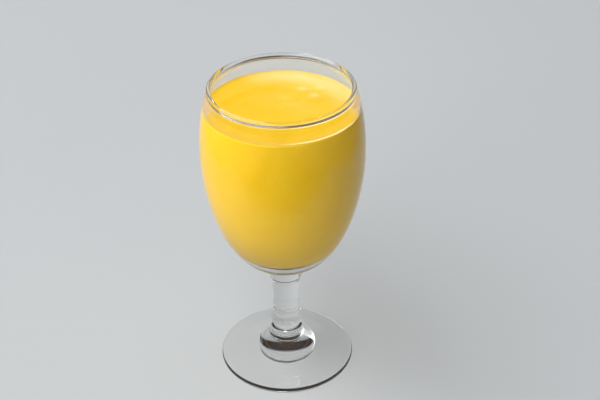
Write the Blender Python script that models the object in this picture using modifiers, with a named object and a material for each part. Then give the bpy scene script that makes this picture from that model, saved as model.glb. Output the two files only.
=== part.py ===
"""A mango lassi in a short-stemmed glass goblet.

The goblet is one turned piece of clear glass: a flat round foot, a round knop, two rings, a short
stem, a collar and an egg-shaped bowl with a thick bottom and a beaded, fire-polished rim. The lassi
is the drink that fills the bowl to just under the rim. Everything stands on z = 0 with the goblet's
axis on Z.

Units are metres, +Z is up. Outlines are lists of (radius, height) that run down the outer side.
"""

import math

import bpy
from mathutils import Vector

COLLECTION_NAME = "mango_lassi"

# The whole goblet
HEIGHT = 0.165
WALL = 0.0023

# The rim, a bead with a faint groove under it
RIM_RADIUS = 0.03665
RIM_HALF_WIDTH = 0.00130
RIM_HALF_HEIGHT = 0.00170
RIM_ARC_END = -40
GROOVE_HEIGHT = 0.1617
GROOVE_DEPTH = 0.0003
GROOVE_REACH = 0.0008
WALL_TOP = 0.1609

# The bowl: an ellipse above the belly, a tapering curve below it
BELLY_RADIUS = 0.0414
BELLY_HEIGHT = 0.1304
UPPER_REACH = 0.0706
LOWER_PULL = 0.0294
BOWL_FOOT = (0.0096, 0.0611)
BOWL_FOOT_LEAN = math.radians(81)
BOWL_FOOT_PULL = 0.0209
HOLLOW_BOTTOM = 0.0740
HOLLOW_PULL = 0.0310
HOLLOW_SIDE_PULL = 0.0310

# The collar under the bowl, as (top, belly, bottom), and the stem down to the rings
NECK_PULL = 0.0011
COLLAR = ((0.0080, 0.0579), (0.0087, 0.0552), (0.0078, 0.0525))
STEM_TOP = (0.0074, 0.0516)
STEM_WAIST = (0.0070, 0.0360)
STEM_END = (0.0073, 0.0280)

# The two rings, each as (top, belly, bottom)
UPPER_RING = ((0.0069, 0.0277), (0.0081, 0.0236), (0.0070, 0.0203))
LOWER_RING = ((0.0074, 0.0198), (0.0088, 0.0166), (0.0074, 0.0138))

# The knop, a flattened ball, its fillet, and the foot under it
KNOP_RADIUS = 0.0154
KNOP_HALF_HEIGHT = 0.0089
KNOP_CENTRE = 0.0066
KNOP_LOWEST = 0.0050
KNOP_FILLET = 0.0026
FOOT_RADIUS = 0.0358
FOOT_EDGE_TOP = 0.0027
FOOT_MIDDLE_TOP = 0.0032
FOOT_EDGE_ROUND = 0.0013
REST_INNER = 0.0300
REST_OUTER = 0.0345
UNDER_RISE = 0.0010

# The lassi, with the gap that keeps it clear of the glass
LASSI_LEVEL = 0.1539
MENISCUS_RISE = 0.0008
MENISCUS_REACH = 0.0032
CLEARANCE = 0.0003

# How finely the outlines are drawn and turned
TURN_STEPS = 56
BOWL_POINTS = 9
SHOULDER_POINTS = 4
RIM_POINTS = 7
NECK_POINTS = 3
RING_POINTS = 5
STEM_POINTS = 4
KNOP_POINTS = 8
FILLET_POINTS = 4
EDGE_POINTS = 4
UNDERSIDE_POINTS = 5
MENISCUS_POINTS = 5

MERGE = 0.00001


def clear_scene():
    """Remove whatever the scene holds."""
    for obj in list(bpy.data.objects):
        bpy.data.objects.remove(obj, do_unlink=True)


def bezier(start, pull_start, pull_end, end, count):
    """Points along one Bezier curve, both ends included."""
    points = []
    for i in range(count):
        t = i / (count - 1)
        s = 1 - t
        weights = (s**3, 3 * s * s * t, 3 * s * t * t, t**3)
        corners = (start, pull_start, pull_end, end)
        radius = sum(w * c[0] for w, c in zip(weights, corners))
        height = sum(w * c[1] for w, c in zip(weights, corners))
        points.append((radius, height))
    return points


def arc(centre, radii, start_degrees, end_degrees, count):
    """Points on an ellipse about centre, by angle from the outward direction."""
    points = []
    for i in range(count):
        angle = math.radians(start_degrees + (end_degrees - start_degrees) * i / (count - 1))
        points.append((centre[0] + radii[0] * math.cos(angle), centre[1] + radii[1] * math.sin(angle)))
    return points


def bulge(top, belly, bottom, count):
    """A rounded bead from top to bottom, through its belly."""
    pull = (2 * belly[0] - (top[0] + bottom[0]) / 2, 2 * belly[1] - (top[1] + bottom[1]) / 2)
    points = []
    for i in range(count):
        t = i / (count - 1)
        s = 1 - t
        radius = s * s * top[0] + 2 * s * t * pull[0] + t * t * bottom[0]
        height = s * s * top[1] + 2 * s * t * pull[1] + t * t * bottom[1]
        points.append((radius, height))
    return points


def shoulder(top, belly_radius, count):
    """The bowl's upper wall, from a height down to just above the belly."""
    points = []
    for i in range(count):
        height = top + (BELLY_HEIGHT - top) * i / count
        above = (height - BELLY_HEIGHT) / UPPER_REACH
        groove = GROOVE_DEPTH * math.exp(-(((height - GROOVE_HEIGHT) / GROOVE_REACH) ** 2))
        points.append((belly_radius * math.sqrt(1 - above**2) - groove, height))
    return points


def hollow_outline(top, inset=0.0):
    """The bowl's hollow from a height down to its bottom on the axis, moved inwards by inset."""
    belly = BELLY_RADIUS - WALL
    lower = bezier(
        (belly, BELLY_HEIGHT),
        (belly, BELLY_HEIGHT - HOLLOW_SIDE_PULL),
        (HOLLOW_PULL, HOLLOW_BOTTOM),
        (0.0, HOLLOW_BOTTOM),
        BOWL_POINTS,
    )
    return moved_inwards(shoulder(top, belly, SHOULDER_POINTS) + lower, inset)


def moved_inwards(points, inset):
    """An outline moved towards its left, square to its own run, with its last point kept on the axis."""
    if not inset:
        return points
    moved = []
    for i, point in enumerate(points):
        before = Vector(points[max(i - 1, 0)])
        after = Vector(points[min(i + 1, len(points) - 1)])
        run = (after - before).normalized()
        moved.append((point[0] + inset * run.y, point[1] - inset * run.x))
    moved[-1] = (0.0, points[-1][1] + inset)
    return moved


def rim_outline():
    """The bead, from the hollow's wall over the top to the outer wall."""
    centre = (RIM_RADIUS - RIM_HALF_WIDTH, HEIGHT - RIM_HALF_HEIGHT)
    radii = (RIM_HALF_WIDTH, RIM_HALF_HEIGHT)
    return arc(centre, radii, 180 - RIM_ARC_END, RIM_ARC_END, RIM_POINTS)


def bowl_outer_outline():
    """The outside of the bowl, from under the rim to the neck."""
    lean = (math.sin(BOWL_FOOT_LEAN), math.cos(BOWL_FOOT_LEAN))
    lower = bezier(
        (BELLY_RADIUS, BELLY_HEIGHT),
        (BELLY_RADIUS, BELLY_HEIGHT - LOWER_PULL),
        (BOWL_FOOT[0] + BOWL_FOOT_PULL * lean[0], BOWL_FOOT[1] + BOWL_FOOT_PULL * lean[1]),
        BOWL_FOOT,
        BOWL_POINTS,
    )
    return shoulder(WALL_TOP, BELLY_RADIUS, SHOULDER_POINTS) + lower


def stem_outline():
    """The neck under the bowl, the collar, the stem and its two rings."""
    lean = (math.sin(BOWL_FOOT_LEAN), math.cos(BOWL_FOOT_LEAN))
    neck = bezier(
        BOWL_FOOT,
        (BOWL_FOOT[0] - NECK_PULL * lean[0], BOWL_FOOT[1] - NECK_PULL * lean[1]),
        (COLLAR[0][0], COLLAR[0][1] + NECK_PULL),
        COLLAR[0],
        NECK_POINTS,
    )
    collar = bulge(*COLLAR, RING_POINTS)
    stem = bulge(STEM_TOP, STEM_WAIST, STEM_END, STEM_POINTS)
    rings = bulge(*UPPER_RING, RING_POINTS) + bulge(*LOWER_RING, RING_POINTS)
    return neck[1:] + collar[1:] + stem + rings


def knop_outline():
    """The knop, from under the lower ring to the fillet on the foot."""
    centre = (0.0, KNOP_CENTRE)
    radii = (KNOP_RADIUS, KNOP_HALF_HEIGHT)
    top_angle = math.degrees(math.acos(LOWER_RING[2][0] / KNOP_RADIUS))
    bottom_angle = math.degrees(math.asin((KNOP_LOWEST - KNOP_CENTRE) / KNOP_HALF_HEIGHT))
    ball = arc(centre, radii, top_angle, bottom_angle, KNOP_POINTS)
    corner = (ball[-1][0], FOOT_MIDDLE_TOP)
    end = (corner[0] + KNOP_FILLET, FOOT_MIDDLE_TOP)
    return ball + bezier(ball[-1], corner, corner, end, FILLET_POINTS)[1:]


def foot_outline():
    """The foot's top, its rounded edge and its slightly hollow underside."""
    edge_centre = (FOOT_RADIUS - FOOT_EDGE_ROUND, FOOT_EDGE_TOP - FOOT_EDGE_ROUND)
    top_edge = arc(edge_centre, (FOOT_EDGE_ROUND, FOOT_EDGE_ROUND), 90, 0, EDGE_POINTS)
    low_radii = (FOOT_RADIUS - REST_OUTER, edge_centre[1])
    low_edge = arc((REST_OUTER, edge_centre[1]), low_radii, 0, -90, EDGE_POINTS)
    middle = REST_INNER / 2
    hollow = bezier(
        (REST_INNER, 0.0),
        (middle, UNDER_RISE),
        (middle, UNDER_RISE),
        (0.0, UNDER_RISE),
        UNDERSIDE_POINTS,
    )
    return top_edge + low_edge[1:] + hollow


def glass_outline():
    """The whole goblet, from the hollow's bottom over the rim and down to the underside."""
    hollow = hollow_outline(WALL_TOP)
    outside = bowl_outer_outline() + stem_outline() + knop_outline() + foot_outline()
    return hollow[::-1] + rim_outline() + outside


def lassi_outline():
    """The drink: its surface, the rise where it meets the wall, and the hollow that it fills."""
    side = hollow_outline(LASSI_LEVEL + MENISCUS_RISE, CLEARANCE)
    edge = side[0]
    surface = bezier(
        (edge[0] - MENISCUS_REACH, LASSI_LEVEL),
        (edge[0] - MENISCUS_REACH / 2, LASSI_LEVEL),
        (edge[0] - MENISCUS_REACH / 8, LASSI_LEVEL + MENISCUS_RISE / 2),
        edge,
        MENISCUS_POINTS,
    )
    return [(0.0, LASSI_LEVEL)] + surface[:-1] + side


def turned(name, outline, collection):
    """A piece turned about Z from its outline."""
    mesh = bpy.data.meshes.new(name)
    points = [(radius, 0.0, height) for radius, height in outline]
    edges = [(i, i + 1) for i in range(len(points) - 1)]
    mesh.from_pydata(points, edges, [])
    obj = bpy.data.objects.new(name, mesh)
    collection.objects.link(obj)
    screw = obj.modifiers.new("Turn", "SCREW")
    screw.axis = "Z"
    screw.steps = TURN_STEPS
    screw.render_steps = TURN_STEPS
    screw.use_merge_vertices = True
    screw.merge_threshold = MERGE
    screw.use_smooth_shade = True
    return obj


def principled(name, colour, roughness, transmission=0.0, index=1.5):
    """A Principled material."""
    material = bpy.data.materials.new(name)
    material.use_nodes = True
    shader = material.node_tree.nodes["Principled BSDF"]
    shader.inputs["Base Color"].default_value = (*colour, 1.0)
    shader.inputs["Roughness"].default_value = roughness
    shader.inputs["Metallic"].default_value = 0.0
    shader.inputs["Transmission Weight"].default_value = transmission
    shader.inputs["IOR"].default_value = index
    material.diffuse_color = (*colour, 1.0)
    return material


def make_glass(collection):
    """The goblet, in clear soda-lime glass."""
    glass = turned("glass", glass_outline(), collection)
    glass.data.materials.append(principled("clear_glass", (0.95, 0.97, 0.96), 0.0, 1.0, 1.52))
    return glass


def make_lassi(collection):
    """The drink, a thick smooth yellow."""
    lassi = turned("lassi", lassi_outline(), collection)
    lassi.data.materials.append(principled("mango_yoghurt", (0.90, 0.58, 0.07), 0.35))
    return lassi


def main():
    clear_scene()
    collection = bpy.data.collections.new(COLLECTION_NAME)
    bpy.context.scene.collection.children.link(collection)
    make_glass(collection)
    make_lassi(collection)


if __name__ == "__main__":
    main()
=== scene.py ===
# %% [markdown]
# A mango lassi in a short-stemmed glass goblet
#
# The drink is thick and opaque, and the goblet is clear, so most of what the eye reads is light:
# a bright yellow body, a few dark lines where the glass bends away, and small white glints.
# This lesson draws the goblet's outline once and spins it, fills it with the drink, and then
# spends its effort on the two finishes and on light that makes clear glass readable.
#
# First the fixed frame is loaded. It holds the plain solids, in metres, with the goblet's axis on Z
# and its foot on z = 0. Both solids are replaced here by finely turned meshes of the same form.

# %% The frame
import math

import bpy
from mathutils import Matrix, Vector


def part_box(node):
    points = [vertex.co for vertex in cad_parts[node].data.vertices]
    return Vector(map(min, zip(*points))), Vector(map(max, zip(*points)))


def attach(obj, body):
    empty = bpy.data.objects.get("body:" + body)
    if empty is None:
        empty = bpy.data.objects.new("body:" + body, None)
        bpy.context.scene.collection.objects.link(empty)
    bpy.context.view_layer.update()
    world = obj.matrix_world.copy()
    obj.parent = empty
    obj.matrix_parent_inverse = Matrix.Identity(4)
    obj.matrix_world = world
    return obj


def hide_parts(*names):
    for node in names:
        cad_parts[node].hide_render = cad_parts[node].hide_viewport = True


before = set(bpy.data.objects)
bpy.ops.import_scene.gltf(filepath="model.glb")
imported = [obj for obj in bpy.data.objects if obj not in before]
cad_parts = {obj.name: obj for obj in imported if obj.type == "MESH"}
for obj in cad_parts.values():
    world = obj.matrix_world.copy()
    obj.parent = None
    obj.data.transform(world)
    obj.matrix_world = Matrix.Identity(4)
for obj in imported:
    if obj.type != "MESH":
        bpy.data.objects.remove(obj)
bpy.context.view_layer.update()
glass_low, glass_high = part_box("glass")
lassi_low, lassi_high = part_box("lassi")
print(len(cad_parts), "plain solids")
print("goblet", [round(v, 4) for v in glass_high - glass_low], "m; drink up to", round(lassi_high.z, 4))

# %% [markdown]
# ## The camera
#
# The picture's perspective comes first, because glass changes with every degree of view.
# The camera stands half a metre in front of the goblet and looks down on it at about a third of a
# right angle, with a trace of roll. A lens is chosen by its focal length in picture widths, so the
# framing holds for the 600 by 400 picture.

# %% The camera
PICTURE_WIDTH = 600
FOCAL_PIXELS = 1266.07
SENSOR_WIDTH = 36.0
CAMERA_PLACE = Vector((0.008216, -0.53944, 0.455143))
CAMERA_DOWN = math.radians(33.4234)
CAMERA_ROLL = math.radians(-0.8119)

bpy.ops.object.camera_add(location=CAMERA_PLACE)
camera = bpy.context.object
camera.name = "camera"
camera.data.sensor_width = SENSOR_WIDTH
camera.data.lens = FOCAL_PIXELS / PICTURE_WIDTH * SENSOR_WIDTH
tilt = Matrix.Rotation(math.pi / 2 - CAMERA_DOWN, 4, "X")
roll = Matrix.Rotation(CAMERA_ROLL, 4, "Z")
camera.matrix_world = Matrix.Translation(CAMERA_PLACE) @ tilt @ roll
bpy.context.scene.camera = camera
print("lens", round(camera.data.lens, 2), "mm")

# %% [markdown]
# ## Curves for an outline
#
# A turned piece is one outline, drawn in the half plane of radius and height. It can be traced as a
# long list of points, but a list hides the shape. Three small curves say it better: a Bezier for a
# sweep with a wanted direction at each end, an arc for a round edge, and a bulge for a bead.

# %% Curves
def bezier(start, pull_start, pull_end, end, count):
    """Points along one Bezier curve, both ends included."""
    points = []
    for i in range(count):
        t = i / (count - 1)
        s = 1 - t
        weights = (s**3, 3 * s * s * t, 3 * s * t * t, t**3)
        corners = (start, pull_start, pull_end, end)
        radius = sum(w * c[0] for w, c in zip(weights, corners))
        height = sum(w * c[1] for w, c in zip(weights, corners))
        points.append((radius, height))
    return points


def arc(centre, radii, start_degrees, end_degrees, count):
    """Points on an ellipse about centre, by angle from the outward direction."""
    points = []
    for i in range(count):
        angle = math.radians(start_degrees + (end_degrees - start_degrees) * i / (count - 1))
        points.append((centre[0] + radii[0] * math.cos(angle), centre[1] + radii[1] * math.sin(angle)))
    return points


def bulge(top, belly, bottom, count):
    """A rounded bead from top to bottom, through its belly."""
    pull = (2 * belly[0] - (top[0] + bottom[0]) / 2, 2 * belly[1] - (top[1] + bottom[1]) / 2)
    points = []
    for i in range(count):
        t = i / (count - 1)
        s = 1 - t
        radius = s * s * top[0] + 2 * s * t * pull[0] + t * t * bottom[0]
        height = s * s * top[1] + 2 * s * t * pull[1] + t * t * bottom[1]
        points.append((radius, height))
    return points


print("three curves are ready")

# %% [markdown]
# ## The bowl's outline
#
# The bowl is an egg cut off near its wide end. Above the belly it is part of an ellipse; below, one
# Bezier tapers into the neck. The hollow inside follows the outer wall at the thickness of pressed
# glass, thinner toward the rim, and then rounds off well above the neck, which leaves the heavy clear
# bottom that such goblets have.
#
# The rim is a bead, because fire polishing draws the edge into a roll. The roll overhangs the wall
# inside, and a shallow groove runs under it outside. A plain tube would do for the shape, but the
# overhang and the groove are what turn light away, and so draw the dark lines that make a rim.

# %% Bowl and rim
HEIGHT = glass_high.z
WALL = 0.0023
TOP_WALL = 0.0014
BELLY_RADIUS = glass_high.x
BELLY_HEIGHT = 0.1304
UPPER_REACH = 0.0706
LOWER_PULL = 0.0294
BOWL_FOOT = (0.0096, 0.0611)
BOWL_FOOT_LEAN = math.radians(81)
BOWL_FOOT_PULL = 0.0209
HOLLOW_BOTTOM = 0.0740
HOLLOW_PULL = 0.0310
RIM_RADIUS = 0.03665
RIM_HALF_WIDTH = 0.0013
RIM_HALF_HEIGHT = 0.0012
RIM_INNER_END = 225
RIM_OUTER_END = -45
UNDERCUT_BOTTOM = 0.1612
UNDERCUT_PULL = 0.0007
GROOVE_HEIGHT = 0.1623
GROOVE_DEPTH = 0.0006
GROOVE_REACH = 0.0008
WALL_TOP = 0.1622
BOWL_POINTS = 48
SHOULDER_POINTS = 22
RIM_POINTS = 34
UNDERCUT_POINTS = 16


def shoulder(top, count, wall=0.0, top_wall=0.0, groove=0.0):
    """The bowl from a height down to just above the belly, less a wall and a groove."""
    points = []
    for i in range(count):
        height = top + (BELLY_HEIGHT - top) * i / count
        above = (height - BELLY_HEIGHT) / UPPER_REACH
        share = (height - BELLY_HEIGHT) / (WALL_TOP - BELLY_HEIGHT)
        thickness = wall + (top_wall - wall) * share
        dip = groove * math.exp(-(((height - GROOVE_HEIGHT) / GROOVE_REACH) ** 2))
        points.append((BELLY_RADIUS * math.sqrt(1 - above**2) - thickness - dip, height))
    return points


def hollow_outline(top):
    """The bowl's hollow, from a height down to its bottom on the axis."""
    belly = BELLY_RADIUS - WALL
    start = (belly, BELLY_HEIGHT)
    side_pull = (belly, BELLY_HEIGHT - HOLLOW_PULL)
    lower = bezier(start, side_pull, (HOLLOW_PULL, HOLLOW_BOTTOM), (0.0, HOLLOW_BOTTOM), BOWL_POINTS)
    return shoulder(top, SHOULDER_POINTS, WALL, TOP_WALL) + lower


def rim_outline():
    """The bead and its overhang, from the hollow's wall over the top to the outer wall."""
    centre = (RIM_RADIUS - RIM_HALF_WIDTH, HEIGHT - RIM_HALF_HEIGHT)
    bead = arc(centre, (RIM_HALF_WIDTH, RIM_HALF_HEIGHT), RIM_INNER_END, RIM_OUTER_END, RIM_POINTS)
    wall_top = shoulder(UNDERCUT_BOTTOM, 1, WALL, TOP_WALL)[0]
    wall_pull = (wall_top[0] - UNDERCUT_PULL / 4, wall_top[1] + UNDERCUT_PULL)
    bead_pull = (bead[0][0] + UNDERCUT_PULL / 2, bead[0][1] - UNDERCUT_PULL / 2)
    return bezier(wall_top, wall_pull, bead_pull, bead[0], UNDERCUT_POINTS)[1:-1] + bead


def bowl_outline():
    """The outside of the bowl, from under the rim to the neck."""
    lean = (math.sin(BOWL_FOOT_LEAN), math.cos(BOWL_FOOT_LEAN))
    pull = (BOWL_FOOT[0] + BOWL_FOOT_PULL * lean[0], BOWL_FOOT[1] + BOWL_FOOT_PULL * lean[1])
    start = (BELLY_RADIUS, BELLY_HEIGHT)
    lower = bezier(start, (BELLY_RADIUS, BELLY_HEIGHT - LOWER_PULL), pull, BOWL_FOOT, BOWL_POINTS)
    return shoulder(WALL_TOP, SHOULDER_POINTS, groove=GROOVE_DEPTH) + lower


print("bowl and rim outlines have", len(bowl_outline()) + len(rim_outline()), "points")

# %% [markdown]
# ## The stem's outline
#
# Under the bowl come a collar with a fine notch below it, a slightly waisted stem, two rings, and a
# knop with a small bead on top. In pressed glass they are the seams and beads of the mould, melted
# soft. Each bead is a bulge, and the short steps between them stay sharp, because a dark line lives
# in every one of those corners. The knop is part of an ellipse, cut off low where it meets the foot.

# %% Stem, rings and knop
NECK_PULL = 0.0011
COLLAR = ((0.0081, 0.0578), (0.0088, 0.0550), (0.0085, 0.0527))
NECK_NOTCH = (0.0056, 0.0523)
STEM = ((0.0073, 0.0507), (0.0070, 0.0360), (0.0073, 0.0280))
UPPER_RING = ((0.0069, 0.0277), (0.0081, 0.0236), (0.0070, 0.0203))
LOWER_RING = ((0.0074, 0.0199), (0.0085, 0.0178), (0.0078, 0.0155))
KNOP_COLLAR = ((0.0081, 0.0152), (0.0091, 0.0145), (0.0094, 0.0137))
KNOP_RADIUS = 0.0154
KNOP_HALF_HEIGHT = 0.0089
KNOP_CENTRE = 0.0066
KNOP_LOWEST = 0.0041
KNOP_FILLET = 0.0014
KNOP_TUCK_DEGREES = 1
NECK_POINTS = 14
STEM_POINTS = 16
RING_POINTS = 24
KNOP_POINTS = 44
FILLET_POINTS = 14


def stem_outline():
    """The neck under the bowl, the collar, the stem and its two rings."""
    lean = (math.sin(BOWL_FOOT_LEAN), math.cos(BOWL_FOOT_LEAN))
    leaving = (BOWL_FOOT[0] - NECK_PULL * lean[0], BOWL_FOOT[1] - NECK_PULL * lean[1])
    neck = bezier(BOWL_FOOT, leaving, (COLLAR[0][0], COLLAR[0][1] + NECK_PULL), COLLAR[0], NECK_POINTS)
    notch = bezier(COLLAR[2], (COLLAR[2][0], NECK_NOTCH[1]), NECK_NOTCH, NECK_NOTCH, NECK_POINTS)
    beads = bulge(*COLLAR, RING_POINTS)[1:] + notch[1:] + bulge(*STEM, STEM_POINTS)
    rings = bulge(*UPPER_RING, RING_POINTS) + bulge(*LOWER_RING, RING_POINTS)
    return neck[1:] + beads + rings + bulge(*KNOP_COLLAR, RING_POINTS)


def knop_outline():
    """The knop, from under the lower ring to the fillet on the foot."""
    top_angle = math.degrees(math.acos(KNOP_COLLAR[2][0] / KNOP_RADIUS)) - KNOP_TUCK_DEGREES
    bottom_angle = math.degrees(math.asin((KNOP_LOWEST - KNOP_CENTRE) / KNOP_HALF_HEIGHT))
    ball = arc((0.0, KNOP_CENTRE), (KNOP_RADIUS, KNOP_HALF_HEIGHT), top_angle, bottom_angle, KNOP_POINTS)
    corner = (ball[-1][0], FOOT_MIDDLE_TOP)
    end = (corner[0] + KNOP_FILLET, FOOT_MIDDLE_TOP)
    return ball + bezier(ball[-1], corner, corner, end, FILLET_POINTS)[1:]


print("the stem's outline has", len(stem_outline()), "points")

# %% [markdown]
# ## The foot's outline
#
# The foot is a flat disc, a little thicker at its middle. Its edge rolls over in a shoulder that is
# wider than it is high, which is what shows as a thin dark line round the disc. Underneath it is
# slightly hollow, so that the goblet stands on a narrow ring and doesn't rock.
#
# With the foot drawn, all the runs are joined into one outline, from the bottom of the hollow up
# over the rim and down the outside to the middle of the underside.

# %% Foot
FOOT_RADIUS = 0.0358
FOOT_EDGE_TOP = 0.0029
FOOT_MIDDLE_TOP = 0.0032
FOOT_EDGE_ROUND = 0.0016
FOOT_EDGE_SHOULDER = 0.0022
REST_INNER = 0.0300
REST_OUTER = 0.0345
UNDER_RISE = 0.0010
EDGE_POINTS = 12
UNDERSIDE_POINTS = 12


def foot_outline():
    """The foot's rounded edge and its slightly hollow underside, ending on the axis."""
    edge_centre = (FOOT_RADIUS - FOOT_EDGE_ROUND, FOOT_EDGE_TOP - FOOT_EDGE_ROUND)
    shoulder_centre = (FOOT_RADIUS - FOOT_EDGE_SHOULDER, edge_centre[1])
    top_edge = arc(shoulder_centre, (FOOT_EDGE_SHOULDER, FOOT_EDGE_ROUND), 90, 0, EDGE_POINTS)
    low_radii = (FOOT_RADIUS - REST_OUTER, edge_centre[1])
    low_edge = arc((REST_OUTER, edge_centre[1]), low_radii, 0, -90, EDGE_POINTS)
    pull = (REST_INNER / 2, UNDER_RISE)
    underside = bezier((REST_INNER, 0.0), pull, pull, (0.0, UNDER_RISE), UNDERSIDE_POINTS)
    return top_edge + low_edge[1:] + underside


outside = bowl_outline() + stem_outline() + knop_outline() + foot_outline()
goblet_outline = hollow_outline(UNDERCUT_BOTTOM)[::-1] + rim_outline() + outside
print("the whole goblet's outline has", len(goblet_outline), "points")

# %% [markdown]
# ## Drawing and spinning
#
# By hand, an outline is drawn by extruding one vertex again and again, and the spin tool then turns
# it about the axis. A small plane is the start: its corners are merged into that first vertex.
# Spinning leaves the seam open and a stack of points on the axis, so doubles are merged, and only
# then are the normals made to face outwards.

# %% Drawing and spinning
STEPS = 192
START_SIZE = 0.001
MERGE = 0.000002


def draw_outline(name, outline):
    """Extrude one vertex along the outline, in the plane y = 0."""
    bpy.ops.object.select_all(action="DESELECT")
    first = Vector((outline[0][0], 0.0, outline[0][1]))
    bpy.ops.mesh.primitive_plane_add(size=START_SIZE, location=first)
    piece = bpy.context.object
    piece.name = name
    bpy.ops.object.transform_apply(location=True, rotation=True, scale=True)
    bpy.ops.object.mode_set(mode="EDIT")
    bpy.ops.mesh.select_all(action="SELECT")
    bpy.ops.mesh.merge(type="CENTER")
    for (radius, height), (next_radius, next_height) in zip(outline, outline[1:]):
        move = (next_radius - radius, 0.0, next_height - height)
        bpy.ops.mesh.extrude_region_move(TRANSFORM_OT_translate={"value": move})
    bpy.ops.object.mode_set(mode="OBJECT")
    return piece


def spin_outline(piece):
    """Turn the drawn outline about Z into a closed, smooth piece."""
    bpy.ops.object.mode_set(mode="EDIT")
    bpy.ops.mesh.select_all(action="SELECT")
    bpy.ops.mesh.spin(steps=STEPS, angle=2 * math.pi, center=(0, 0, 0), axis=(0, 0, 1))
    bpy.ops.mesh.select_all(action="SELECT")
    bpy.ops.mesh.remove_doubles(threshold=MERGE)
    bpy.ops.mesh.normals_make_consistent(inside=False)
    bpy.ops.object.mode_set(mode="OBJECT")
    bpy.ops.object.shade_smooth()
    print(piece.name, len(piece.data.vertices), "vertices", len(piece.data.polygons), "faces")


# %% The goblet
goblet = draw_outline("goblet", goblet_outline)
spin_outline(goblet)

# %% [markdown]
# ## The drink
#
# The drink fills the hollow up to its level. It could be cut from the hollow with a boolean, but it
# is a turned shape too, so the hollow's own curves serve for its side. The side reaches a hair into
# the wall: two surfaces in one place would flicker, and a gap would show as a silver skin of air.
# A drink climbs the wall a little, and a thick one hardly at all, so the surface turns up by a mere
# trace at its edge. It has many rings, which the swells of the next step need.

# %% The drink
LASSI_LEVEL = 0.1539
INTO_WALL = 0.0003
MENISCUS_RISE = 0.0002
MENISCUS_REACH = 0.0050
SURFACE_RINGS = 64
MENISCUS_POINTS = 16


def into_wall(points):
    """The hollow's outline moved square to its own run, into the glass."""
    moved = []
    for i, point in enumerate(points):
        before = Vector(points[max(i - 1, 0)])
        after = Vector(points[min(i + 1, len(points) - 1)])
        run = (after - before).normalized()
        moved.append((point[0] - INTO_WALL * run.y, point[1] + INTO_WALL * run.x))
    moved[-1] = (0.0, points[-1][1] - INTO_WALL)
    return moved


def drink_outline():
    """The surface from the axis out, the meniscus, and the side down to the bottom."""
    side = into_wall(hollow_outline(LASSI_LEVEL + MENISCUS_RISE))
    edge = side[0]
    flat = edge[0] - MENISCUS_REACH
    rings = [(flat * i / SURFACE_RINGS, LASSI_LEVEL) for i in range(SURFACE_RINGS)]
    leaving = (edge[0] - MENISCUS_REACH / 2, LASSI_LEVEL)
    arriving = (edge[0] - MENISCUS_REACH / 8, LASSI_LEVEL + MENISCUS_RISE / 2)
    rise = bezier((flat, LASSI_LEVEL), leaving, arriving, edge, MENISCUS_POINTS)
    return rings + rise[:-1] + side


drink = draw_outline("drink", drink_outline())
spin_outline(drink)

# %% [markdown]
# ## Swells on the drink
#
# A poured yoghurt drink never lies quite level. Noise could displace the surface, but it would
# ripple like water. A few low swells, each a pull on one point that takes its neighbours along, are
# enough to break up the shine, and each can be put where a glint should fall.

# %% Swells
# Each swell has its place x and y, its reach and its lift, in metres.
SWELLS = [
    (0.002, 0.012, 0.0070, -0.00005),
    (0.010, 0.015, 0.0060, 0.00005),
    (0.016, 0.008, 0.0060, 0.00007),
    (-0.006, 0.016, 0.0080, -0.00004),
    (0.006, 0.004, 0.0070, -0.00005),
    (0.020, 0.016, 0.0050, 0.00004),
    (-0.014, 0.004, 0.0100, 0.00006),
    (-0.004, -0.012, 0.0100, -0.00006),
    (0.012, -0.010, 0.0090, 0.00005),
]


def swell(piece, x, y, reach, lift):
    """Pull the surface point nearest to x, y up or down, with its neighbours."""
    bpy.ops.object.mode_set(mode="EDIT")
    bpy.ops.mesh.select_mode(type="VERT")
    bpy.ops.mesh.select_all(action="DESELECT")
    bpy.ops.object.mode_set(mode="OBJECT")
    aim = Vector((x, y, LASSI_LEVEL))
    nearest = min(piece.data.vertices, key=lambda vertex: (vertex.co - aim).length)
    nearest.select = True
    bpy.ops.object.mode_set(mode="EDIT")
    bpy.ops.transform.translate(
        value=(0, 0, lift),
        use_proportional_edit=True,
        proportional_edit_falloff="SMOOTH",
        proportional_size=reach,
    )
    bpy.ops.object.mode_set(mode="OBJECT")


for x, y, reach, lift in SWELLS:
    swell(drink, x, y, reach, lift)
print(len(SWELLS), "swells on the drink")

# %% [markdown]
# ## Shader maths
#
# Node trees are easier to read as sums. A small class wraps a node's output, and Python's own
# operators on it add the Math nodes. Every other node comes from one method, which sets the node's
# settings first, because some of them change its sockets.

# %% Shader maths
class Wire:
    """A node's output, on which Python's operators work."""

    def __init__(self, board, socket):
        self.board = board
        self.socket = socket

    def sum_with(self, operation, first, second):
        return self.board.add("ShaderNodeMath", {"operation": operation}, {0: first, 1: second})

    def __add__(self, other):
        return self.sum_with("ADD", self, other)

    def __radd__(self, other):
        return self.sum_with("ADD", other, self)

    def __sub__(self, other):
        return self.sum_with("SUBTRACT", self, other)

    def __rsub__(self, other):
        return self.sum_with("SUBTRACT", other, self)

    def __mul__(self, other):
        return self.sum_with("MULTIPLY", self, other)

    def __rmul__(self, other):
        return self.sum_with("MULTIPLY", other, self)


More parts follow.
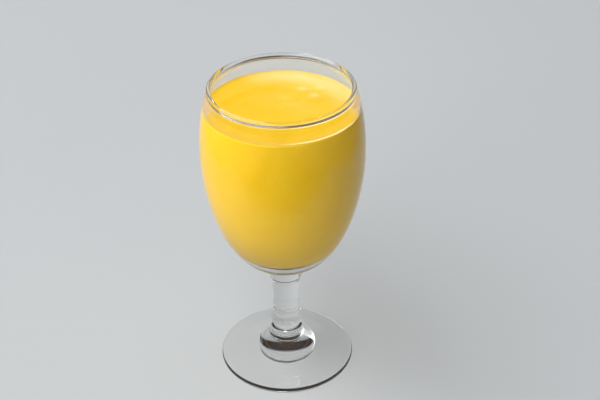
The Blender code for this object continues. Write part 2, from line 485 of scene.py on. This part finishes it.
class Board:
    """A material's or a world's node tree, empty at first."""

    def __init__(self, owner):
        owner.use_nodes = True
        self.tree = owner.node_tree
        self.tree.nodes.clear()

    def add(self, kind, settings, sockets, outlet=0):
        """Add a node: its type, its settings, then the values or links of its sockets."""
        node = self.tree.nodes.new(kind)
        for name, value in settings.items():
            if name == "stops":
                self.set_stops(node.color_ramp.elements, value)
            else:
                setattr(node, name, value)
        for name, value in sockets.items():
            if isinstance(value, Wire):
                self.tree.links.new(value.socket, node.inputs[name])
            else:
                node.inputs[name].default_value = value
        return Wire(self, node.outputs[outlet]) if len(node.outputs) else node

    def smooth_step(self, value, ends):
        """A soft climb from 0 at the first end to 1 at the second."""
        smooth = {"interpolation_type": "SMOOTHSTEP"}
        return self.add("ShaderNodeMapRange", smooth, {0: value, 1: ends[0], 2: ends[1]})

    def set_stops(self, elements, stops):
        """Give a ramp its stops, each a position and a colour, in rising order."""
        for i, (position, colour) in enumerate(stops):
            element = elements[i] if i < 2 else elements.new(position)
            element.position = position
            element.color = (*colour, 1.0)


def object_noise(board, scale, detail=2.0):
    """Noise in object space, from 0 to 1, with features about 1 / scale metres wide."""
    place = board.add("ShaderNodeTexCoord", {}, {}, "Object")
    sockets = {"Vector": place, "Scale": scale, "Detail": detail}
    return board.add("ShaderNodeTexNoise", {}, sockets, "Fac")


# %% [markdown]
# ## Clear glass
#
# Path tracing refracts and reflects by itself, so most of a glass finish is restraint: no tint worth
# naming, no roughness on fire-polished faces. Two things make it glass and not a soap film. Pressed
# glass is never quite true, so a very low, wide bump bends its lines. And a thick edge is darker than
# a thin wall, so the body takes a little light away.
#
# Two more things keep the picture clean. Light on its way to the drink or the table passes straight
# through, less what a grazing face would mirror, because the bright curves that it would draw need
# far more samples than they are worth. And a ray that has been thrown about inside the glass a few
# times is let out. The renderer gives up on it otherwise, and leaves a black patch that real glass
# doesn't show.

# %% Clear glass
WAVE_SCALE = 70.0
WAVE_STRENGTH = 0.06
WAVE_DEPTH = 0.0001
SMEAR_SCALE = 260.0
SMEAR_DETAIL = 6.0
SMEAR_TINT = (0.985, 0.992, 0.99, 1.0)
NO_TINT = (1.0, 1.0, 1.0, 1.0)
ALL_DARK = (0.0, 0.0, 0.0, 1.0)
GLASS_IOR = 1.5
BODY_TINT = (0.6, 0.62, 0.62, 1.0)
BODY_DENSITY = 12.0
TRAPPED_AFTER = 3.5


def make_clear_glass():
    """Fire-polished soda-lime glass."""
    material = bpy.data.materials.new("clear_glass")
    board = Board(material)
    waves = object_noise(board, WAVE_SCALE)
    bending = {"Strength": WAVE_STRENGTH, "Distance": WAVE_DEPTH, "Height": waves}
    bump = board.add("ShaderNodeBump", {}, bending)
    smears = object_noise(board, SMEAR_SCALE, SMEAR_DETAIL)
    tints = {0: smears, 6: SMEAR_TINT, 7: NO_TINT}
    colour = board.add("ShaderNodeMix", {"data_type": "RGBA"}, tints, 2)
    sockets = {
        "Base Color": colour,
        "Roughness": 0.0,
        "IOR": GLASS_IOR,
        "Transmission Weight": 1.0,
        "Normal": bump,
    }
    glass = board.add("ShaderNodeBsdfPrincipled", {}, sockets)
    clear = board.add("ShaderNodeBsdfTransparent", {}, {"Color": NO_TINT})
    blocked = board.add("ShaderNodeBsdfTransparent", {}, {"Color": ALL_DARK})
    glance = board.add("ShaderNodeLayerWeight", {}, {"Blend": 0.5}, "Facing")
    squared = glance * glance
    mirrored = squared * squared * glance
    passing = board.add("ShaderNodeMixShader", {}, {0: mirrored, 1: clear, 2: blocked})
    is_shadow = board.add("ShaderNodeLightPath", {}, {}, "Is Shadow Ray")
    is_diffuse = board.add("ShaderNodeLightPath", {}, {}, "Is Diffuse Ray")
    shaded = board.add("ShaderNodeMixShader", {}, {0: is_shadow, 1: glass, 2: passing})
    softened = board.add("ShaderNodeMixShader", {}, {0: is_diffuse, 1: shaded, 2: passing})
    bounces = board.add("ShaderNodeLightPath", {}, {}, "Ray Depth")
    over = {"operation": "GREATER_THAN"}
    is_trapped = board.add("ShaderNodeMath", over, {0: bounces, 1: TRAPPED_AFTER})
    surface = board.add("ShaderNodeMixShader", {}, {0: is_trapped, 1: softened, 2: clear})
    darkening = {"Color": BODY_TINT, "Density": BODY_DENSITY}
    body = board.add("ShaderNodeVolumeAbsorption", {}, darkening)
    board.add("ShaderNodeOutputMaterial", {}, {"Surface": surface, "Volume": body})
    return material


goblet.data.materials.append(make_clear_glass())
print("goblet finished in", goblet.data.materials[0].name)

# %% [markdown]
# ## Mango yoghurt
#
# The drink is mango pulp beaten into yoghurt: opaque, a full yellow that leans to orange only in the
# shade, with a soft wet sheen on its free surface. Pulp makes it uneven in two sizes, so two noises
# mix three close colours, and a fine bump breaks the sheen. Along one side of the wall lies a pale
# painted highlight: light painted into the colour of the free surface where it falls on the drink's
# edge, fading out inwards and along the edge. A painted map could hold it, but two smooth ramps,
# one by radius and one by direction, give the same patch with no map.

# %% Mango yoghurt
CLOUD_SCALE = 90.0
CLOUD_DETAIL = 3.0
PULP_SCALE = 900.0
PULP_DETAIL = 2.0
PULP_SHARE = 0.15
YELLOWS = [(0.3, (0.91, 0.545, 0.012)), (0.5, (0.92, 0.56, 0.015)), (0.7, (0.93, 0.575, 0.02))]
GRAIN_STRENGTH = 0.2
GRAIN_DEPTH = 0.0001
YOGHURT_ROUGHNESS = 0.5
YOGHURT_UNEVENNESS = 0.1
YOGHURT_SPECULAR = 0.06
FREE_DEPTH = 0.0006
# The painted highlight: its side, its reach from the axis, its spread, its colour and its cover.
PAINTED_LIGHT_AZIMUTH = math.radians(58)
PAINTED_LIGHT_SIDE = (math.cos(PAINTED_LIGHT_AZIMUTH), math.sin(PAINTED_LIGHT_AZIMUTH), 0.0)
PAINTED_LIGHT_RADII = (0.021, 0.034)
PAINTED_LIGHT_FACING = (0.25, 0.9)
PAINTED_LIGHT_COLOUR = (0.93, 0.73, 0.22, 1.0)
PAINTED_LIGHT_COVER = 0.55
PAINTED_LIGHT_CLOUDINESS = 0.7
WET_COAT = 0.6
WET_ROUGHNESS = 0.12
WET_IOR = 1.36


def make_mango_yoghurt():
    """Thick mango lassi."""
    material = bpy.data.materials.new("mango_yoghurt")
    board = Board(material)
    clouds = object_noise(board, CLOUD_SCALE, CLOUD_DETAIL)
    pulp = object_noise(board, PULP_SCALE, PULP_DETAIL)
    patches = board.add("ShaderNodeValToRGB", {"stops": YELLOWS}, {"Fac": clouds})
    blend = {"data_type": "RGBA", "blend_type": "SOFT_LIGHT"}
    flecks = board.add("ShaderNodeMix", blend, {0: PULP_SHARE, 6: patches, 7: pulp}, 2)
    roughening = {"Strength": GRAIN_STRENGTH, "Distance": GRAIN_DEPTH, "Height": pulp}
    grain = board.add("ShaderNodeBump", {}, roughening)
    place = board.add("ShaderNodeTexCoord", {}, {}, "Object")
    height = board.add("ShaderNodeSeparateXYZ", {}, {"Vector": place}, "Z")
    over = {"operation": "GREATER_THAN"}
    free = board.add("ShaderNodeMath", over, {0: height, 1: LASSI_LEVEL - FREE_DEPTH})
    flatten = {0: place, 1: (1.0, 1.0, 0.0)}
    level = board.add("ShaderNodeVectorMath", {"operation": "MULTIPLY"}, flatten)
    radius = board.add("ShaderNodeVectorMath", {"operation": "LENGTH"}, {0: level}, "Value")
    toward = board.add("ShaderNodeVectorMath", {"operation": "NORMALIZE"}, {0: level})
    sides = {0: toward, 1: PAINTED_LIGHT_SIDE}
    facing = board.add("ShaderNodeVectorMath", {"operation": "DOT_PRODUCT"}, sides, "Value")
    near_wall = board.smooth_step(radius, PAINTED_LIGHT_RADII)
    on_side = board.smooth_step(facing, PAINTED_LIGHT_FACING)
    # Painted highlight: a pale patch on the free surface along one side of the wall, standing in for
    # light on the edge.
    painted_light = near_wall * on_side * free * (PAINTED_LIGHT_COVER + clouds * PAINTED_LIGHT_CLOUDINESS)
    painted_light_mix = {0: painted_light, 6: flecks, 7: PAINTED_LIGHT_COLOUR}
    topped = board.add("ShaderNodeMix", {"data_type": "RGBA"}, painted_light_mix, 2)
    sockets = {
        "Base Color": topped,
        "Roughness": YOGHURT_ROUGHNESS + clouds * YOGHURT_UNEVENNESS,
        "Specular IOR Level": YOGHURT_SPECULAR,
        "Coat Weight": free * WET_COAT,
        "Coat Roughness": WET_ROUGHNESS,
        "Coat IOR": WET_IOR,
        "Normal": grain,
    }
    surface = board.add("ShaderNodeBsdfPrincipled", {}, sockets)
    board.add("ShaderNodeOutputMaterial", {}, {"Surface": surface})
    return material


drink.data.materials.append(make_mango_yoghurt())
print("drink finished in", drink.data.materials[0].name)

# %% [markdown]
# ## The table
#
# The table is a plain pale plane, a hair below the foot so that the two never share a surface.
# Clear glass shows only what stands round it, and on an all-pale table it would vanish. A glass
# photographer lays dark cards just outside the picture, and the glass mirrors them as dark lines.
# The cards could be real planes, but they would shade the table, so here they are painted into its
# finish: the camera and soft light meet the plain table, and only rays that come by way of the glass
# meet the painted cards, which the glass shows as painted reflections. One lies far behind, one in
# front, and one on each side, where they are painted warm as if lit amber.

# %% Table
TABLE_SIZE = 8.0
TABLE_GAP = 0.0001
TABLE_COLOUR = (0.52, 0.545, 0.56)
TABLE_CLOUD_SCALE = 6.0
TABLE_CLOUD_DEPTH = 0.01
TABLE_ROUGHNESS = 0.5
# A painted card, and its painted warmth, fades in between two distances from the goblet's axis, in
# metres.
BACK_CARD = (0.42, 0.60)
BACK_CARD_ENDS = (0.20, 0.40)
FRONT_CARD = (0.10, 0.22)
SIDE_CARD = (0.26, 0.36)
PAINTED_DARK_CARD = (0.07, 0.05, 0.035, 1.0)
PAINTED_WARM_CARD = (0.80, 0.50, 0.20, 1.0)
PAINTED_WARM_FROM = (0.15, 0.35)

bpy.ops.object.select_all(action="DESELECT")
bpy.ops.mesh.primitive_plane_add(size=TABLE_SIZE, location=(0, 0, -TABLE_GAP))
floor = bpy.context.object
floor.name = "floor"


def make_pale_table():
    """A plain pale table top, with dark and warm cards painted into it that only the glass mirrors."""
    material = bpy.data.materials.new("pale_table")
    board = Board(material)
    clouds = object_noise(board, TABLE_CLOUD_SCALE)
    low = tuple((1 - TABLE_CLOUD_DEPTH) * c for c in TABLE_COLOUR)
    stops = [(0.3, low), (0.7, TABLE_COLOUR)]
    pale = board.add("ShaderNodeValToRGB", {"stops": stops}, {"Fac": clouds})
    place = board.add("ShaderNodeTexCoord", {}, {}, "Object")
    away = board.add("ShaderNodeSeparateXYZ", {}, {"Vector": place}, "Y")
    sideways = board.add("ShaderNodeSeparateXYZ", {}, {"Vector": place}, "X")
    aside = board.add("ShaderNodeMath", {"operation": "ABSOLUTE"}, {0: sideways})
    far = board.smooth_step(away, BACK_CARD)
    behind = far * (1 - board.smooth_step(aside, BACK_CARD_ENDS))
    before = board.smooth_step(0 - away, FRONT_CARD)
    beside = board.smooth_step(aside, SIDE_CARD) * (1 - far)
    greater = {"operation": "MAXIMUM"}
    front_or_back = board.add("ShaderNodeMath", greater, {0: behind, 1: before})
    carded = board.add("ShaderNodeMath", greater, {0: front_or_back, 1: beside})
    # Painted warm light: the side cards turn amber as if lit, and the glass shows them as amber tones.
    warmth = {0: board.smooth_step(aside, PAINTED_WARM_FROM), 6: PAINTED_DARK_CARD, 7: PAINTED_WARM_CARD}
    painted_card = board.add("ShaderNodeMix", {"data_type": "RGBA"}, warmth, 2)
    colours = {0: carded, 6: pale, 7: painted_card}
    colour = board.add("ShaderNodeMix", {"data_type": "RGBA"}, colours, 2)
    plain_sockets = {"Base Color": pale, "Roughness": TABLE_ROUGHNESS}
    plain = board.add("ShaderNodeBsdfPrincipled", {}, plain_sockets)
    carded_sockets = {"Base Color": colour, "Roughness": TABLE_ROUGHNESS}
    with_cards = board.add("ShaderNodeBsdfPrincipled", {}, carded_sockets)
    is_camera = board.add("ShaderNodeLightPath", {}, {}, "Is Camera Ray")
    is_diffuse = board.add("ShaderNodeLightPath", {}, {}, "Is Diffuse Ray")
    choice = {0: is_camera + is_diffuse, 1: with_cards, 2: plain}
    surface = board.add("ShaderNodeMixShader", {}, choice)
    board.add("ShaderNodeOutputMaterial", {}, {"Surface": surface})
    return material


floor.data.materials.append(make_pale_table())
print("table at", round(floor.location.z, 5))

# %% [markdown]
# ## The lamps
#
# One wide soft lamp on the left models the bowl and throws a soft shadow to the right. Mirrored in
# every curve of the glass it would lie there as a white patch, so plain mirror rays pass it by, and
# it shows only through the glass, as thin bright edges. A second lamp, small and far behind, does
# the opposite: it can be mirrored but not seen through the glass, and leaves the few pale glints on
# the wet drink. Both lamps face the middle of the goblet.

# %% Lamps
WINDOW_AZIMUTH = math.radians(205)
WINDOW_ELEVATION = math.radians(48)
WINDOW_DISTANCE = 5.0
WINDOW_SIZE = (9.0, 6.0)
WINDOW_POWER = 570.0
GLINT_AZIMUTH = math.radians(89)
GLINT_ELEVATION = math.radians(28.6)
GLINT_DISTANCE = 2.0
GLINT_SIZE = (0.09, 0.025)
GLINT_POWER = 0.65
LAMP_AIM = Vector((0.0, 0.0, 0.08))


def add_lamp(name, azimuth, elevation, distance, size, power):
    """A soft rectangular lamp that faces the goblet."""
    reach = distance * math.cos(elevation)
    rise = distance * math.sin(elevation)
    place = Vector((reach * math.cos(azimuth), reach * math.sin(azimuth), rise))
    turn = (LAMP_AIM - place).to_track_quat("-Z", "Y").to_euler()
    bpy.ops.object.light_add(type="AREA", location=place, rotation=turn)
    lamp = bpy.context.object
    lamp.name = name
    lamp.data.shape = "RECTANGLE"
    lamp.data.size, lamp.data.size_y = size
    lamp.data.energy = power
    lamp.visible_camera = False
    return lamp


window = add_lamp(
    "window", WINDOW_AZIMUTH, WINDOW_ELEVATION, WINDOW_DISTANCE, WINDOW_SIZE, WINDOW_POWER
)
window.visible_glossy = False
glint = add_lamp(
    "far window", GLINT_AZIMUTH, GLINT_ELEVATION, GLINT_DISTANCE, GLINT_SIZE, GLINT_POWER
)
glint.visible_transmission = False
print("lamps at", [round(v, 2) for v in window.location], [round(v, 2) for v in glint.location])

# %% [markdown]
# ## The room
#
# What the glass shows from beyond the table is the room, so the room is chosen for the glass. A sky
# picture would serve, but a ramp by elevation is easier to steer. Each band has its work: the dark
# one at the horizon draws the lines at the edges, the pale one above it fills the knop's lower half
# and the bowl's clear bottom, and the high dark one gives the knop its dark band. Overhead it is a
# soft grey, which keeps the top of the drink bright.

# %% Room
# Each band has its elevation in degrees and its colour.
ROOM_DARK = (0.05, 0.037, 0.03)
ROOM_PALE = (0.55, 0.55, 0.56)
ROOM_HIGH = (0.05, 0.042, 0.036)
ROOM_OVERHEAD = (0.30, 0.30, 0.31)
ROOM_BANDS = [
    (0, ROOM_DARK),
    (16, ROOM_DARK),
    (19, ROOM_PALE),
    (29, ROOM_PALE),
    (32, ROOM_DARK),
    (60, ROOM_HIGH),
    (76, ROOM_OVERHEAD),
]


def make_room():
    """A room in bands, placed on the ramp by the sine of their elevation."""
    world = bpy.data.worlds.new("room")
    board = Board(world)
    direction = board.add("ShaderNodeTexCoord", {}, {}, "Generated")
    rise = board.add("ShaderNodeSeparateXYZ", {}, {"Vector": direction}, "Z")
    stops = [(math.sin(math.radians(degrees)), shade) for degrees, shade in ROOM_BANDS]
    colour = board.add("ShaderNodeValToRGB", {"stops": stops}, {"Fac": rise})
    light = board.add("ShaderNodeBackground", {}, {"Color": colour, "Strength": 1.0})
    board.add("ShaderNodeOutputWorld", {}, {"Surface": light})
    return world


bpy.context.scene.world = make_room()
bpy.context.scene.view_settings.view_transform = "Standard"
print("room with", len(ROOM_BANDS), "bands")

# %% [markdown]
# ## Hand over
#
# Nothing in the object moves, so both pieces ride on the one body. Each stands for its plain solid,
# which is hidden.

# %% Hand over
for piece, node in ((goblet, "glass"), (drink, "lassi")):
    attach(piece, "root")
    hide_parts(node)
